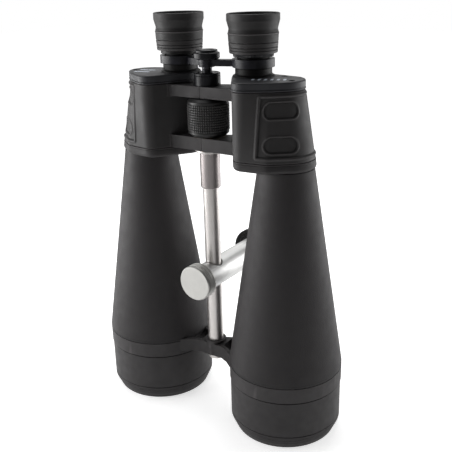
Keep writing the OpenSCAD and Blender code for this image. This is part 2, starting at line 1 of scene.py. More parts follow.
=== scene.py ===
"""The looks of the astronomy binoculars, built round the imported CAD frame.

Lengths are in millimetres and become metres where a mesh is made. Z runs up the hinge axis,
X towards the right tube and Y towards the side with the tripod foot. Places come from the CAD
nodes' boxes, and each new piece stands for the node it is named after.
"""

import json
import math

import bmesh
import bpy
from mathutils import Matrix, Quaternion, Vector

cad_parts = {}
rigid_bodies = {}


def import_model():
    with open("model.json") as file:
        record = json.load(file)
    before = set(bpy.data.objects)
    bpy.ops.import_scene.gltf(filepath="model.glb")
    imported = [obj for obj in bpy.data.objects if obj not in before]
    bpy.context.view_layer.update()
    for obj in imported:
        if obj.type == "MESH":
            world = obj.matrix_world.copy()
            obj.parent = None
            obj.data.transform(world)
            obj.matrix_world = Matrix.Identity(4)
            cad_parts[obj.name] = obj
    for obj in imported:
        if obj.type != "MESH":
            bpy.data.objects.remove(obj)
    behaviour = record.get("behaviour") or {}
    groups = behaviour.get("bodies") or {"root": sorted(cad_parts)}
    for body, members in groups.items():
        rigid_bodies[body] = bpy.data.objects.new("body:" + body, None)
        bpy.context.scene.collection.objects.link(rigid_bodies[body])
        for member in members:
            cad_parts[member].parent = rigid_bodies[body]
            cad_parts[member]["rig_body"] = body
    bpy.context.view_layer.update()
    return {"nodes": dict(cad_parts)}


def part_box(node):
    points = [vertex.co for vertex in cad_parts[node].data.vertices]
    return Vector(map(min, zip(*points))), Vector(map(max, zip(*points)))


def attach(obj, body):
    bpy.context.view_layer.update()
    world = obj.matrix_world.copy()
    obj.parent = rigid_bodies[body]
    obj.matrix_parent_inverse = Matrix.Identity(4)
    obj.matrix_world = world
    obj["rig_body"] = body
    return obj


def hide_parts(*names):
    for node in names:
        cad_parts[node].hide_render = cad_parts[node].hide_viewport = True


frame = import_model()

MM = 0.001
SIDES = {"right": 1, "left": -1}
SEGMENTS = 160          # facets round a full turn of the larger round pieces
SHARP = math.radians(32)
GAP = 0.02              # left between pieces that touch


# ---- measures of the CAD nodes ----

class Turned:
    """Centre, radius and two ends of a round CAD node whose axis runs along z or along y."""

    def __init__(self, node, along="z"):
        low, high = (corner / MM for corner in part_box(node))
        k = "xyz".index(along)
        self.centre = (low + high) / 2
        self.radius = (high.x - low.x) / 2
        self.start = low[k]
        self.end = high[k]


# ---- meshes ----

def show(name, mesh):
    """A new object in the scene, smooth but for its sharp edges."""
    mesh.polygons.foreach_set("use_smooth", [True] * len(mesh.polygons))
    mesh.set_sharp_from_angle(angle=SHARP)
    obj = bpy.data.objects.new(name, mesh)
    bpy.context.scene.collection.objects.link(obj)
    return obj


def solid(name, points, faces):
    """An object from points in millimetres, with its faces turned outwards."""
    mesh = bpy.data.meshes.new(name)
    mesh.from_pydata([Vector(p) * MM for p in points], [], faces)
    work = bmesh.new()
    work.from_mesh(mesh)
    bmesh.ops.recalc_face_normals(work, faces=work.faces)
    work.to_mesh(mesh)
    work.free()
    return show(name, mesh)


def rounded(outline, steps=5):
    """Points of a closed outline of (radius, height) pairs. A third value rounds that corner."""
    points = []
    count = len(outline)
    for i, corner in enumerate(outline):
        here = Vector(corner[:2])
        if len(corner) == 2:
            points.append(here)
            continue
        back = Vector(outline[i - 1][:2]) - here
        ahead = Vector(outline[(i + 1) % count][:2]) - here
        half = back.angle(ahead) / 2
        reach = min(corner[2] / math.tan(half), 0.49 * min(back.length, ahead.length))
        radius = reach * math.tan(half)
        centre = here + (back.normalized() + ahead.normalized()).normalized() * radius / math.sin(half)
        first = here + back.normalized() * reach - centre
        last = here + ahead.normalized() * reach - centre
        sweep = first.angle(last)
        for k in range(steps + 1):
            share = k / steps
            turn = (first * math.sin((1 - share) * sweep) + last * math.sin(share * sweep)) / math.sin(sweep)
            points.append(centre + turn)
    return points


def lathe(name, outline, centre, along="z", segments=SEGMENTS, relief=None):
    """A turned solid: outline is a closed loop of (radius, height[, corner radius]).

    relief(angle, height, radius) is added to the radius of each point.
    """
    points, rings, faces = [], [], []
    for radius, height in rounded(outline):
        if radius < 1e-6:
            rings.append([len(points)] * segments)
        else:
            rings.append(range(len(points), len(points) + segments))
        for k in range(segments if radius >= 1e-6 else 1):
            angle = math.tau * k / segments
            r = radius + (relief(angle, height, radius) if relief else 0)
            if along == "z":
                points.append((centre.x + r * math.cos(angle), centre.y + r * math.sin(angle), height))
            else:
                points.append((centre.x + r * math.cos(angle), height, centre.z + r * math.sin(angle)))
    for ring, following in zip(rings, rings[1:] + rings[:1]):
        for k in range(segments):
            m = (k + 1) % segments
            corners = list(dict.fromkeys((ring[k], ring[m], following[m], following[k])))
            if len(corners) > 2:
                faces.append(corners)
    return solid(name, points, faces)


def baked(obj):
    """The object with its modifiers made part of its mesh."""
    shape = obj.evaluated_get(bpy.context.evaluated_depsgraph_get())
    mesh = bpy.data.meshes.new_from_object(shape)
    obj.modifiers.clear()
    obj.data = mesh
    mesh.polygons.foreach_set("use_smooth", [True] * len(mesh.polygons))
    mesh.set_sharp_from_angle(angle=SHARP)
    return obj


def cut(obj, *tools):
    """The object less the tools, which are used up."""
    for tool in tools:
        step = obj.modifiers.new("cut", "BOOLEAN")
        step.operation = "DIFFERENCE"
        step.solver = "EXACT"
        step.object = tool
    baked(obj)
    for tool in tools:
        bpy.data.objects.remove(tool)
    return obj


def block(low, high):
    """A cutting box between two corners."""
    points = [(x, y, z) for x in (low[0], high[0]) for y in (low[1], high[1]) for z in (low[2], high[2])]
    faces = [(0, 1, 3, 2), (4, 6, 7, 5), (0, 4, 5, 1), (2, 3, 7, 6), (0, 2, 6, 4), (1, 5, 7, 3)]
    return solid("block", points, faces)


def drill(radius, centre, low, high, along="z", segments=96):
    """A cutting cylinder."""
    return lathe("drill", [(0, low), (radius, low), (radius, high), (0, high)], centre, along, segments)


def groove(r, height, depth, mouth, foot, ease):
    """Outline of a groove round a turned piece, with half its width at the mouth and at the foot."""
    return [(r, height - mouth, ease), (r - depth, height - foot, 0.1), (r - depth, height + foot, 0.1),
            (r, height + mouth, ease)]


def thread(r, start, end):
    """Outline of a fine thread of pitch 1 along a bar."""
    pitch, depth = 1.0, 0.3
    outline = []
    height = start
    while height < end:
        outline += [(r, height), (r - depth, height + pitch / 4), (r, height + pitch / 2)]
        height += pitch
    return outline


def mirrored(obj, side):
    """The object itself for the right side, or reflected for the left."""
    if side == "left":
        obj.data.transform(Matrix.Scale(-1, 4, Vector((1, 0, 0))))
        obj.data.flip_normals()
    return obj


def eased(node, width):
    """A copy of a CAD node with its sharp edges rounded off."""
    mesh = frame["nodes"][node].data.copy()
    work = bmesh.new()
    work.from_mesh(mesh)
    bmesh.ops.remove_doubles(work, verts=work.verts, dist=0.002 * MM)
    bmesh.ops.dissolve_limit(work, angle_limit=math.radians(0.6), verts=work.verts, edges=work.edges)
    sharp = [e for e in work.edges if len(e.link_faces) == 2 and e.calc_face_angle() > SHARP]
    bmesh.ops.bevel(work, geom=sharp, offset=width * MM, offset_type="OFFSET", affect="EDGES",
                    segments=3, profile=0.5, clamp_overlap=True)
    work.to_mesh(mesh)
    work.free()
    return show(node + "_piece", mesh)


def stand_for(obj, node, slot):
    """obj is shown in place of the CAD node, rides on its body and takes its finish."""
    obj.name = node + "_piece"
    obj.data.name = obj.name
    obj.data.materials.clear()
    obj.data.materials.append(finish(slot))
    weights = obj.modifiers.new("normals", "WEIGHTED_NORMAL")
    weights.keep_sharp = True
    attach(obj, frame["nodes"][node]["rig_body"])
    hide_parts(node)
    return obj


# ---- materials ----

class Graph:
    """One Principled material, with the node chains that drive it."""

    def __init__(self, name, colour, roughness, metallic=0.0, specular=0.5):
        self.material = bpy.data.materials.new(name)
        self.material.use_nodes = True
        self.tree = self.material.node_tree
        self.shader = self.tree.nodes["Principled BSDF"]
        self.colour = colour
        self.roughness = roughness
        self.shader.inputs["Base Color"].default_value = (*colour, 1)
        self.shader.inputs["Roughness"].default_value = roughness
        self.shader.inputs["Metallic"].default_value = metallic
        self.shader.inputs["Specular IOR Level"].default_value = specular
        self.place = self.node("ShaderNodeTexCoord").outputs["Object"]
        self.normal = None

    def node(self, kind, inputs=None, **settings):
        made = self.tree.nodes.new(kind)
        for key, value in settings.items():
            setattr(made, key, value)
        for socket, value in (inputs or {}).items():
            if isinstance(value, bpy.types.NodeSocket):
                self.tree.links.new(value, made.inputs[socket])
            elif value is not None:
                made.inputs[socket].default_value = value
        return made

    def noise(self, size, detail=2.0, place=None):
        """Soft noise with patches about size millimetres across."""
        return self.node("ShaderNodeTexNoise", {
            "Vector": place or self.place, "Scale": 1 / (size * MM), "Detail": detail}).outputs["Fac"]

    def pebbles(self, size):
        """Height of small round pebbles about size millimetres apart."""
        cells = self.node("ShaderNodeTexVoronoi", {"Vector": self.place, "Scale": 1 / (size * MM)})
        return self.span(cells.outputs["Distance"], 0.0, 0.7, 1.0, 0.0)

    def polar(self, centre, along):
        """Distance from an axis, and distance along it."""
        k = "xyz".index(along)
        flat = [0.0 if i == k else 1.0 for i in range(3)]
        out = self.node("ShaderNodeVectorMath", {0: self.place, 1: [c * MM for c in centre]},
                        operation="SUBTRACT").outputs[0]
        across = self.node("ShaderNodeVectorMath", {0: out, 1: flat}, operation="MULTIPLY").outputs[0]
        radius = self.node("ShaderNodeVectorMath", {0: across}, operation="LENGTH").outputs["Value"]
        return radius, self.node("ShaderNodeSeparateXYZ", {0: out}).outputs[k]

    def rings(self, centre, along, pitch):
        """Fine uneven rings round an axis, on the sides and on the faces of a turned piece."""
        radius, height = self.polar(centre, along)
        both = self.node("ShaderNodeCombineXYZ", {0: radius, 1: height}).outputs[0]
        return self.noise(pitch, 3.0, both)

    def span(self, value, start, end, low, high):
        """The value's range from start to end, carried over to low to high."""
        return self.node("ShaderNodeMapRange", {
            "Value": value, "From Min": start, "From Max": end,
            "To Min": low, "To Max": high}).outputs["Result"]

    def edges(self, start=0.52, end=0.6):
        """1 on convex edges and 0 elsewhere. A finely meshed piece needs a lower start and end."""
        pointiness = self.node("ShaderNodeNewGeometry").outputs["Pointiness"]
        return self.span(pointiness, start, end, 0.0, 1.0)

    def shade_hollows(self, start=0.485, end=0.44):
        """1 in grooves and corners, and 0 elsewhere: the mask where shade is painted into the colour."""
        return self.edges(start, end)

    def tint(self, factor, colour):
        """Shifts the colour towards another where factor is 1."""
        base = self.shader.inputs["Base Color"]
        mix = self.node("ShaderNodeMix", {"Factor": factor}, data_type="RGBA")
        first, second = (s for s in mix.inputs if s.type == "RGBA")
        if base.is_linked:
            self.tree.links.new(base.links[0].from_socket, first)
        else:
            first.default_value = (*self.colour, 1)
        second.default_value = (*colour, 1)
        self.tree.links.new(next(s for s in mix.outputs if s.type == "RGBA"), base)

    def polish(self, factor, change):
        """Adds up to change to the roughness where factor is 1."""
        value = self.span(factor, 0.3, 0.7, self.roughness - change / 2, self.roughness + change / 2)
        self.tree.links.new(value, self.shader.inputs["Roughness"])

    def bump(self, height, depth):
        """Raises the surface by up to depth millimetres."""
        made = self.node("ShaderNodeBump", {
            "Height": height, "Distance": depth * MM, "Strength": 1.0, "Normal": self.normal})
        self.normal = made.outputs["Normal"]
        self.tree.links.new(self.normal, self.shader.inputs["Normal"])


def scaled(colour, factor):
    """A paler or darker version of a colour."""
    return tuple(min(1.0, c * factor) for c in colour)


def paint(name, colour, roughness, grain, depth, specular=0.5):
    """Sprayed paint: fine grain, faint patches, edges made paler as a painted highlight and hollows darker
    as painted shade.
    """
    g = Graph(name, colour, roughness, specular=specular)
    g.tint(g.span(g.noise(18), 0.35, 0.65, 0.0, 0.5), scaled(colour, 1.35))
    # painted highlight: convex edges made paler
    g.tint(g.edges(), scaled(colour, 2.8))
    # painted shade: grooves and corners made darker
    g.tint(g.shade_hollows(), scaled(colour, 0.5))
    g.polish(g.noise(7, 3.0), 0.12)
    g.bump(g.noise(grain, 2.0), depth)
    return g.material


def pebbled(name, colour, roughness, grain, depth, specular=0.4):
    """Moulded rubber or coating with a small pebble grain, edges made paler as a painted highlight and
    hollows darker as painted shade.
    """
    g = Graph(name, colour, roughness, specular=specular)
    g.tint(g.span(g.noise(22), 0.35, 0.65, 0.0, 0.5), scaled(colour, 1.3))
    # painted highlight: convex edges made paler
    g.tint(g.edges(0.508, 0.535), scaled(colour, 2.4))
    # painted shade: grooves and corners made darker
    g.tint(g.shade_hollows(0.492, 0.47), scaled(colour, 0.3))
    g.polish(g.noise(9, 3.0), 0.1)
    g.bump(g.pebbles(grain), depth)
    g.bump(g.noise(grain / 3, 1.0), depth / 3)
    return g.material


def ringed_rubber(name, colour, roughness, centre, ridge):
    """Soft rubber with faint moulding rings, a painted highlight along a ridge at one height and paler edges
    as a painted highlight.
    """
    g = Graph(name, colour, roughness, specular=0.35)
    rings = g.rings(centre, "z", 0.9)
    g.tint(g.span(rings, 0.35, 0.65, 0.0, 0.6), scaled(colour, 1.4))
    # painted highlight: convex edges made much paler
    g.tint(g.edges(0.508, 0.53), scaled(colour, 5))
    # painted shade: grooves and corners made darker
    g.tint(g.shade_hollows(0.492, 0.47), scaled(colour, 0.3))
    # painted highlight: a pale band at the ridge's height, where light catches the ledge
    _, height = g.polar(centre, "z")
    above = g.node("ShaderNodeMath", {0: height, 1: (ridge - centre.z) * MM}, operation="SUBTRACT")
    off = g.node("ShaderNodeMath", {0: above.outputs[0]}, operation="ABSOLUTE").outputs[0]
    g.tint(g.span(off, 0.2 * MM, 0.6 * MM, 0.8, 0.0), scaled(colour, 6))
    g.polish(g.noise(6, 3.0), 0.12)
    g.bump(rings, 0.05)
    g.bump(g.noise(0.25, 2.0), 0.012)
    return g.material


def studded_rubber(name, wheel):
    """Rubber of the focus wheel: stud tops and bands paler as a painted highlight over grooves darker as
    painted shade.
    """
    g = Graph(name, (0.012, 0.012, 0.012), 0.38, specular=0.4)
    radius, _ = g.polar(wheel.centre, "z")
    # painted highlight on the outer stud tops and bands, painted shade lower in the grooves
    g.tint(g.span(radius, (wheel.radius - 0.6) * MM, (wheel.radius - 0.1) * MM, 0.0, 1.0),
           (0.075, 0.073, 0.072))
    g.polish(g.noise(5, 3.0), 0.12)
    g.bump(g.noise(0.3), 0.008)
    return g.material


def turned_metal(name, colour, roughness, centre, along):
    """Metal with the fine rings of a turning tool, and faint smears."""
    g = Graph(name, colour, roughness, metallic=1.0)
    rings = g.rings(centre, along, 0.22)
    g.tint(g.span(rings, 0.3, 0.7, 0.0, 0.35), scaled(colour, 0.78))
    g.tint(g.span(g.noise(14), 0.4, 0.7, 0.0, 0.25), scaled(colour, 0.85))
    g.tint(g.edges(), scaled(colour, 1.15))
    g.polish(g.noise(5, 3.0), 0.1)
    g.bump(rings, 0.004)
    return g.material


def glass(name, colour, film):
    """Optical glass; the film's thickness in nanometres gives the coating's colour."""
    g = Graph(name, colour, 0.02)
    g.shader.inputs["Transmission Weight"].default_value = 1.0
    g.shader.inputs["IOR"].default_value = 1.52
    g.shader.inputs["Thin Film Thickness"].default_value = film
    g.shader.inputs["Thin Film IOR"].default_value = 1.38
    g.polish(g.noise(9, 2.0), 0.01)
    return g.material


def print_ink(name, colour):
    """Worn printing ink."""
    g = Graph(name, colour, 0.5)
    g.tint(g.span(g.noise(0.6), 0.4, 0.7, 0.0, 0.5), scaled(colour, 0.75))
    g.bump(g.noise(0.3), 0.01)
    return g.material


rod_axis = Turned("support_rod").centre
post_axis = Turned("clamp_knob", "y").centre
eyecup = Turned("eyecup_right")
EYECUP_RIDGE = 15.1     # from the rim down to the ridge round the eyecup
SILVER = (0.70, 0.67, 0.65)
FINISHES = {
    "matte_black_casting": lambda n: paint(n, (0.024, 0.0218, 0.0225), 0.6, 0.35, 0.02, 0.38),
    "matte_black_casting/cover": lambda n: paint(n, (0.021, 0.0213, 0.0245), 0.52, 0.35, 0.015, 0.45),
    "armour_rubber": lambda n: pebbled(n, (0.024, 0.0222, 0.0226), 0.6, 0.55, 0.035),
    "barrel_coating": lambda n: pebbled(n, (0.0125, 0.0113, 0.0118), 0.6, 0.9, 0.055, 0.32),
    "gloss_black": lambda n: paint(n, (0.006, 0.006, 0.008), 0.36, 1.4, 0.006, 0.28),
    "satin_black": lambda n: paint(n, (0.006, 0.0056, 0.0056), 0.5, 0.8, 0.01, 0.2),
    "black_steel": lambda n: turned_metal(n, (0.07, 0.07, 0.075), 0.38, rod_axis, "z"),
    "satin_aluminium/rod": lambda n: turned_metal(n, SILVER, 0.42, rod_axis, "z"),
    "satin_aluminium/sleeve": lambda n: turned_metal(n, (0.35, 0.32, 0.315), 0.42, rod_axis, "z"),
    "satin_aluminium/post": lambda n: turned_metal(n, (0.74, 0.74, 0.73), 0.48, post_axis, "y"),
    "satin_aluminium/knob": lambda n: turned_metal(n, (0.55, 0.545, 0.523), 0.45, post_axis, "y"),
    "wheel_rubber": lambda n: studded_rubber(n, Turned("focus_wheel")),
    "eyecup_rubber": lambda n: ringed_rubber(
        n, (0.0165, 0.0154, 0.0156), 0.55, eyecup.centre, eyecup.end - EYECUP_RIDGE),
    "foot_rubber": lambda n: pebbled(n, (0.035, 0.035, 0.035), 0.65, 0.4, 0.02),
    "black_nylon": lambda n: paint(n, (0.018, 0.018, 0.018), 0.5, 0.5, 0.01),
    "brass": lambda n: turned_metal(n, (0.62, 0.42, 0.17), 0.32, post_axis, "y"),
    "spring_steel": lambda n: turned_metal(n, (0.5, 0.5, 0.5), 0.3, rod_axis, "z"),
    "lens_glass": lambda n: glass(n, (0.93, 0.98, 0.96), 330.0),
    "prism_glass": lambda n: glass(n, (0.96, 0.98, 1.0), 0.0),
    "print": lambda n: print_ink(n, (0.62, 0.68, 0.76)),
}
made_finishes = {}


def finish(slot):
    """The material of a slot, made once."""
    if slot not in made_finishes:
        made_finishes[slot] = FINISHES[slot](slot.replace("/", "_"))
    return made_finishes[slot]


# ---- support rod, hinge and focusing ----

def build_rod():
    """Support rod with its end nut, and the sleeve and collar that hold it under the hinge."""
    nut = Turned("rod_end_nut")
    rod = Turned("support_rod")
    sleeve = Turned("rod_sleeve")
    collar = Turned("rod_flange")
    axle = Turned("hinge_axle").radius
    spigot_r, socket_floor, dish = 4.0, nut.start + 1.4, 0.5
    stand_for(lathe("nut", [
        (spigot_r + GAP, nut.end), (spigot_r + GAP, socket_floor), (0, socket_floor),
        (0, nut.start + dish), (2.6, nut.start + dish, 0.3), (3.2, nut.start, 0.3),
        (nut.radius, nut.start, 0.9), (nut.radius, nut.end - 1.2, 0.2),
        (nut.radius - 0.35, nut.end - 1.0), (nut.radius, nut.end - 0.8, 0.2),
        (nut.radius, nut.end, 0.3)], nut.centre), "rod_end_nut", "satin_aluminium/rod")
    foot = nut.end + GAP
    stand_for(lathe("rod", [
        (0, rod.start), (spigot_r, rod.start, 0.4), (spigot_r, foot), (rod.radius, foot, 0.4),
        (rod.radius, rod.end, 0.5), (0, rod.end)], rod.centre), "support_rod", "satin_aluminium/rod")
    stand_for(lathe("sleeve", [
        (rod.radius + GAP, sleeve.start, 0.2), (sleeve.radius - 0.5, sleeve.start, 0.2),
        (sleeve.radius, sleeve.start + 0.7, 0.4), (sleeve.radius, sleeve.end), (axle + GAP, sleeve.end),
        (axle + GAP, rod.end + GAP), (rod.radius + GAP, rod.end + GAP)],
        sleeve.centre), "rod_sleeve", "satin_aluminium/sleeve")
    bore, ease = axle + GAP, 0.7
    stand_for(lathe("collar", [
        (bore, collar.start, ease), (collar.radius, collar.start, ease),
        (collar.radius, collar.end, ease), (bore, collar.end, ease)],
        collar.centre), "rod_flange", "satin_aluminium/rod")


def build_top_collar():
    """Collar on the hinge axle, with a groove round its side and a shallow ring in its top."""
    collar = Turned("top_collar")
    bore = Turned("focus_spindle").radius + 0.05
    axle = Turned("hinge_axle")
    side_groove = collar.end - 1.9
    ring_r, ring_depth = (6.8, 9.2), 0.5
    stand_for(lathe("collar", [
        (axle.radius + GAP, collar.start), (collar.radius, collar.start, 0.3),
        (collar.radius, side_groove - 0.5, 0.2), (collar.radius - 0.5, side_groove - 0.25, 0.1),
        (collar.radius, side_groove, 0.2), (collar.radius, collar.end, 1.1),
        (ring_r[1], collar.end, 0.2), (ring_r[1] - 0.5, collar.end - ring_depth, 0.2),
        (ring_r[0] + 0.4, collar.end - ring_depth, 0.2), (ring_r[0], collar.end, 0.2),
        (bore, collar.end, 0.4), (bore, axle.end + GAP), (axle.radius + GAP, axle.end + GAP)],
        collar.centre), "top_collar", "gloss_black")


def build_cap():
    """Cap of the bridge: a disc on a short neck, under a dished button."""
    cap = Turned("bridge_cap")
    spindle = Turned("focus_spindle")
    disc_foot, disc_top = spindle.end - 2.0, spindle.end + 2.8
    bore, socket_end = spindle.radius + GAP, spindle.end + GAP
    neck_r, button_r, dish_r, dish = 8.0, 9.0, 7.4, 1.1
    stand_for(lathe("cap", [
        (bore, cap.start), (neck_r, cap.start, 0.3), (cap.radius - 0.6, disc_foot, 0.6),
        (cap.radius, disc_foot + 0.6, 0.4), (cap.radius, disc_top, 0.8), (button_r + 0.5, disc_top, 0.2),
        (button_r, disc_top + 0.35, 0.2), (button_r, cap.end, 0.9), (dish_r, cap.end, 0.3),
        (dish_r - 1.9, cap.end - dish + 0.2, 1.5), (0, cap.end - dish),
        (0, socket_end), (bore, socket_end)], cap.centre), "bridge_cap", "gloss_black")


def build_wheel():
    """Rubber focus wheel: square studs between two smooth bands."""
    wheel = Turned("focus_wheel")
    bore = Turned("wheel_core").radius + GAP
    band = 4.2                  # height of a smooth band
    columns, rows = 56, 11
    low, high = wheel.start + band, wheel.end - band
    pitch = (high - low) / rows
    steps = 8                   # facets across one stud, and heights up one stud
    stud_h = 0.75
    slope = 0.28                # share of the pitch that each sloping side takes up
    root = wheel.radius - stud_h

    def stud(share):
        """Height of a stud across its pitch: flat on top, with sloping sides."""
        t = min(1.0, max(0.0, (0.5 - abs(share % 1 - 0.5)) / slope))
        return t * t * (3 - 2 * t)

    def relief(angle, height, radius):
        if not (low - 0.01 < height < high + 0.01 and radius > root - 0.01):
            return 0
        across = stud(angle * columns / math.tau)
        return stud_h * across * stud((height - low) / pitch)

    wall = [(root, low + (high - low) * k / (rows * steps)) for k in range(rows * steps + 1)]
    lip = wheel.radius - 0.5
    web = wheel.end + 0.3       # top of a thin web over the brass core
    web_r = 8.6
    outline = [(bore, wheel.start, 0.3), (lip - 2.4, wheel.start, 0.4), (lip, wheel.start + 2.0, 0.8),
               (lip, low - 0.5, 0.2), (root, low - 0.3)]
    outline += wall
    outline += [(root, high + 0.3), (lip, high + 0.5, 0.2), (lip, wheel.end - 2.0, 0.8),
                (lip - 2.4, web, 0.4), (web_r, web), (web_r, wheel.end + GAP), (bore, wheel.end + GAP)]
    stand_for(lathe("wheel", outline, wheel.centre, segments=columns * steps, relief=relief),
              "focus_wheel", "wheel_rubber")


def build_spindle():
    """Focus spindle, threaded where it shows between the collar and the cap."""
    spindle = Turned("focus_spindle")
    r = spindle.radius
    first_groove, last_groove = 303.0, 310.0
    outline = [(0, spindle.start), (r, spindle.start, 0.3)] + thread(r, first_groove, last_groove)
    outline += [(r, spindle.end), (0, spindle.end)]
    stand_for(lathe("spindle", outline, spindle.centre, segments=64), "focus_spindle", "black_steel")


# ---- objective tubes ----

def build_barrel(side):
    """Conical tube, hollow, with a seat for the lens cell at its foot and a neck at its top."""
    node = "objective_barrel_" + side
    barrel = Turned(node)
    cone_top_r, cone_top, neck_r = 23.1, Turned("base_plate_right").start - 0.1, 22.0
    cone_z, lip_z = 62.2, 60.4
    bore, seat_r, wall = 43.0, 46.0, 2.4
    r = barrel.radius
    centre = Turned("objective_cell_" + side).centre
    stand_for(lathe("barrel", [
        (bore, barrel.start), (seat_r, barrel.start), (seat_r, lip_z), (r, lip_z, 0.3),
        (r - 0.02, cone_z + 0.6, 0.8), (cone_top_r, cone_top), (neck_r, cone_top), (neck_r, barrel.end),
        (neck_r - 1.5, barrel.end), (neck_r - 1.5, cone_top), (r - wall - 0.6, cone_z + wall),
        (bore, cone_z)], centre, segments=192), node, "barrel_coating")


def build_cell(side):
    """Lens cell: ribs below, smooth above, with a grooved hood in front of the lens."""
    node = "objective_cell_" + side
    cell = Turned(node)
    r, top, spigot_r, bore, seat, hood_r = cell.radius, 46.5, 42.95, 41.6, 14.98, 40.0
    outline = [(42.6, 0, 0.3), (44.0, 0, 0.5), (46.0, 4.5, 1.5)]
    for rib_r, z in ((46.4, 7.0), (47.6, 9.0), (r, 12.5)):
        outline += [(rib_r, z, 0.3), (rib_r - 0.6, z + 0.1, 0.1), (rib_r - 0.6, z + 0.5, 0.1)]
        outline += [(min(rib_r + 1.1, r), z + 0.55, 0.3)]
    outline += [(r, top - 1.1, 0.2), (r - 0.7, top - 0.9, 0.1), (r - 0.7, top), (spigot_r, top),
                (spigot_r, cell.end), (bore, cell.end), (bore, seat), (hood_r, seat), (hood_r, seat - 2)]
    grooves, pitch, first, flare = 7, 1.5, 11.5, 0.15
    for k in range(grooves):
        groove_r, z = hood_r + 1.2 + flare * k, first - pitch * k
        outline += [(groove_r, z), (groove_r + 0.6, z - 0.7)]
    stand_for(lathe("cell", outline, cell.centre, segments=192), node, "matte_black_casting")


def lens_outline(bottom, edge_low, edge_high, top, radius, steps=14):
    """Closed outline of a lens from its middle heights and the heights of its edge."""
    share = [k / steps for k in range(steps + 1)]
    outline = [(radius * s, bottom + (edge_low - bottom) * s * s) for s in share]
    outline += [(radius * s, top + (edge_high - top) * s * s) for s in reversed(share)]
    return outline


def build_lenses(side):
    """Crown lens, field lens and eye lens; spread is how far a lens bulges on each side."""
    for part, spread in (("crown_lens", 3.5), ("field_lens", 1.8), ("eye_lens", 1.8)):
        node = part + "_" + side
        lens = Turned(node)
        shape = lens_outline(lens.start, lens.start + spread, lens.end - spread, lens.end, lens.radius)
        stand_for(lathe("lens", shape, lens.centre), node, "lens_glass")


def build_brace(side):
    """Brace: a band round the tube, with arms to the eye round the rod."""
    node = "objective_brace_" + side
    stand_for(eased(node, 0.6), node, "matte_black_casting")


# ---- prism housings ----

OBJECTIVE = Turned("objective_cell_right").centre
EYEPIECE = Turned("eyepiece_tube_right").centre
# Circles whose tight loop is the plan of one half, counter-clockwise from the nose:
# x, y and radius at the housing's foot and at its top.
PLAN_CIRCLES = (
    ((47, -17, 10), (47, -17, 10)),
    ((66, -14, 10), (62.5, -8, 10)),
    ((OBJECTIVE.x, OBJECTIVE.y, 23.4), (66, 6.5, 18.3)),
    ((EYEPIECE.x, EYEPIECE.y, 17.5), (EYEPIECE.x, EYEPIECE.y, 17.5)),
)
armour_low, armour_high = (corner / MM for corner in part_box("housing_armour_right"))
FOOT, TOP = armour_low.z, armour_high.z


class Plan:
    """Tight loop round the plan circles at one height, as four arcs and four straight stretches."""

    def __init__(self, z):
        t = (z - FOOT) / (TOP - FOOT)
        self.circles = [Vector(low).lerp(Vector(high), t) for low, high in PLAN_CIRCLES]
        pairs = zip(self.circles, self.circles[1:] + self.circles[:1])
        self.turns = [self.touch_angle(a, b) for a, b in pairs]

    @staticmethod
    def touch_angle(a, b):
        """Direction of the outward normal of the line that touches circles a and b."""
        step = (b - a).to_2d()
        return math.atan2(step.y, step.x) - math.pi / 2 + math.asin((a.z - b.z) / step.length)

    def at(self, stretch, share):
        """Point and outward normal at a share of a stretch. Even stretches are arcs."""
        k = stretch // 2
        circle = self.circles[k]
        if stretch % 2 == 0:
            start = self.turns[k - 1]
            angle = start + (self.turns[k] - start) % math.tau * share
            normal = Vector((math.cos(angle), math.sin(angle)))
            return circle.to_2d() + circle.z * normal, normal
        normal = Vector((math.cos(self.turns[k]), math.sin(self.turns[k])))
        after = self.circles[(k + 1) % 4]
        first = circle.to_2d() + circle.z * normal
        last = after.to_2d() + after.z * normal
        return first.lerp(last, share), normal

    def length(self, stretch):
        k = stretch // 2
        if stretch % 2 == 0:
            return self.circles[k].z * ((self.turns[k] - self.turns[k - 1]) % math.tau)
        return (self.at(stretch, 1)[0] - self.at(stretch, 0)[0]).length


def stations(coarse, fine=None, near=None):
    """Places round the plan, as (stretch, share, distance), evenly spaced at mid height.

    The spacing is fine between the two distances near, and coarse elsewhere.
    """
    middle = Plan((FOOT + TOP) / 2)
    places, passed = [], 0.0
    for stretch in range(8):
        length = middle.length(stretch)
        gap = fine if near and near[0] < passed + length and passed < near[1] else coarse
        count = max(1, math.ceil(length / gap))
        places += [(stretch, k / count, passed + length * k / count) for k in range(count)]
        passed += length
    return places


def bands(count, rows, number):
    """Faces that join rings of count points to the ring above; the first ring follows the last."""
    return [(i * count + k, i * count + (k + 1) % count,
             (i + 1) % rows * count + (k + 1) % count, (i + 1) % rows * count + k)
            for i in range(number) for k in range(count)]


def loft(name, levels, places, relief=None):
    """Closed shell through levels of (height, inset): the last level is joined to the first.

    With relief, relief(distance, height) is added to the levels that carry a third value.
    """
    points = []
    for level in levels:
        plan = Plan(level[0])
        for stretch, share, distance in places:
            point, normal = plan.at(stretch, share)
            out = -level[1]
            if relief and len(level) == 3:
                out += relief(distance, level[0])
            point = point + normal * out
            points.append((point.x, point.y, level[0]))
    return solid(name, points, bands(len(places), len(levels), len(levels)))


def plate(name, levels, places):
    """Solid through levels of (height, inset), with flat ends."""
    points = []
    for height, inset in levels:
        plan = Plan(min(height, TOP))
        for stretch, share, _ in places:
            point, normal = plan.at(stretch, share)
            point = point - normal * inset
            points.append((point.x, point.y, height))
    count = len(places)
    faces = bands(count, len(levels), len(levels) - 1)
    faces += [tuple(range(count)), tuple(range(len(points) - count, len(points)))]
    return solid(name, points, faces)


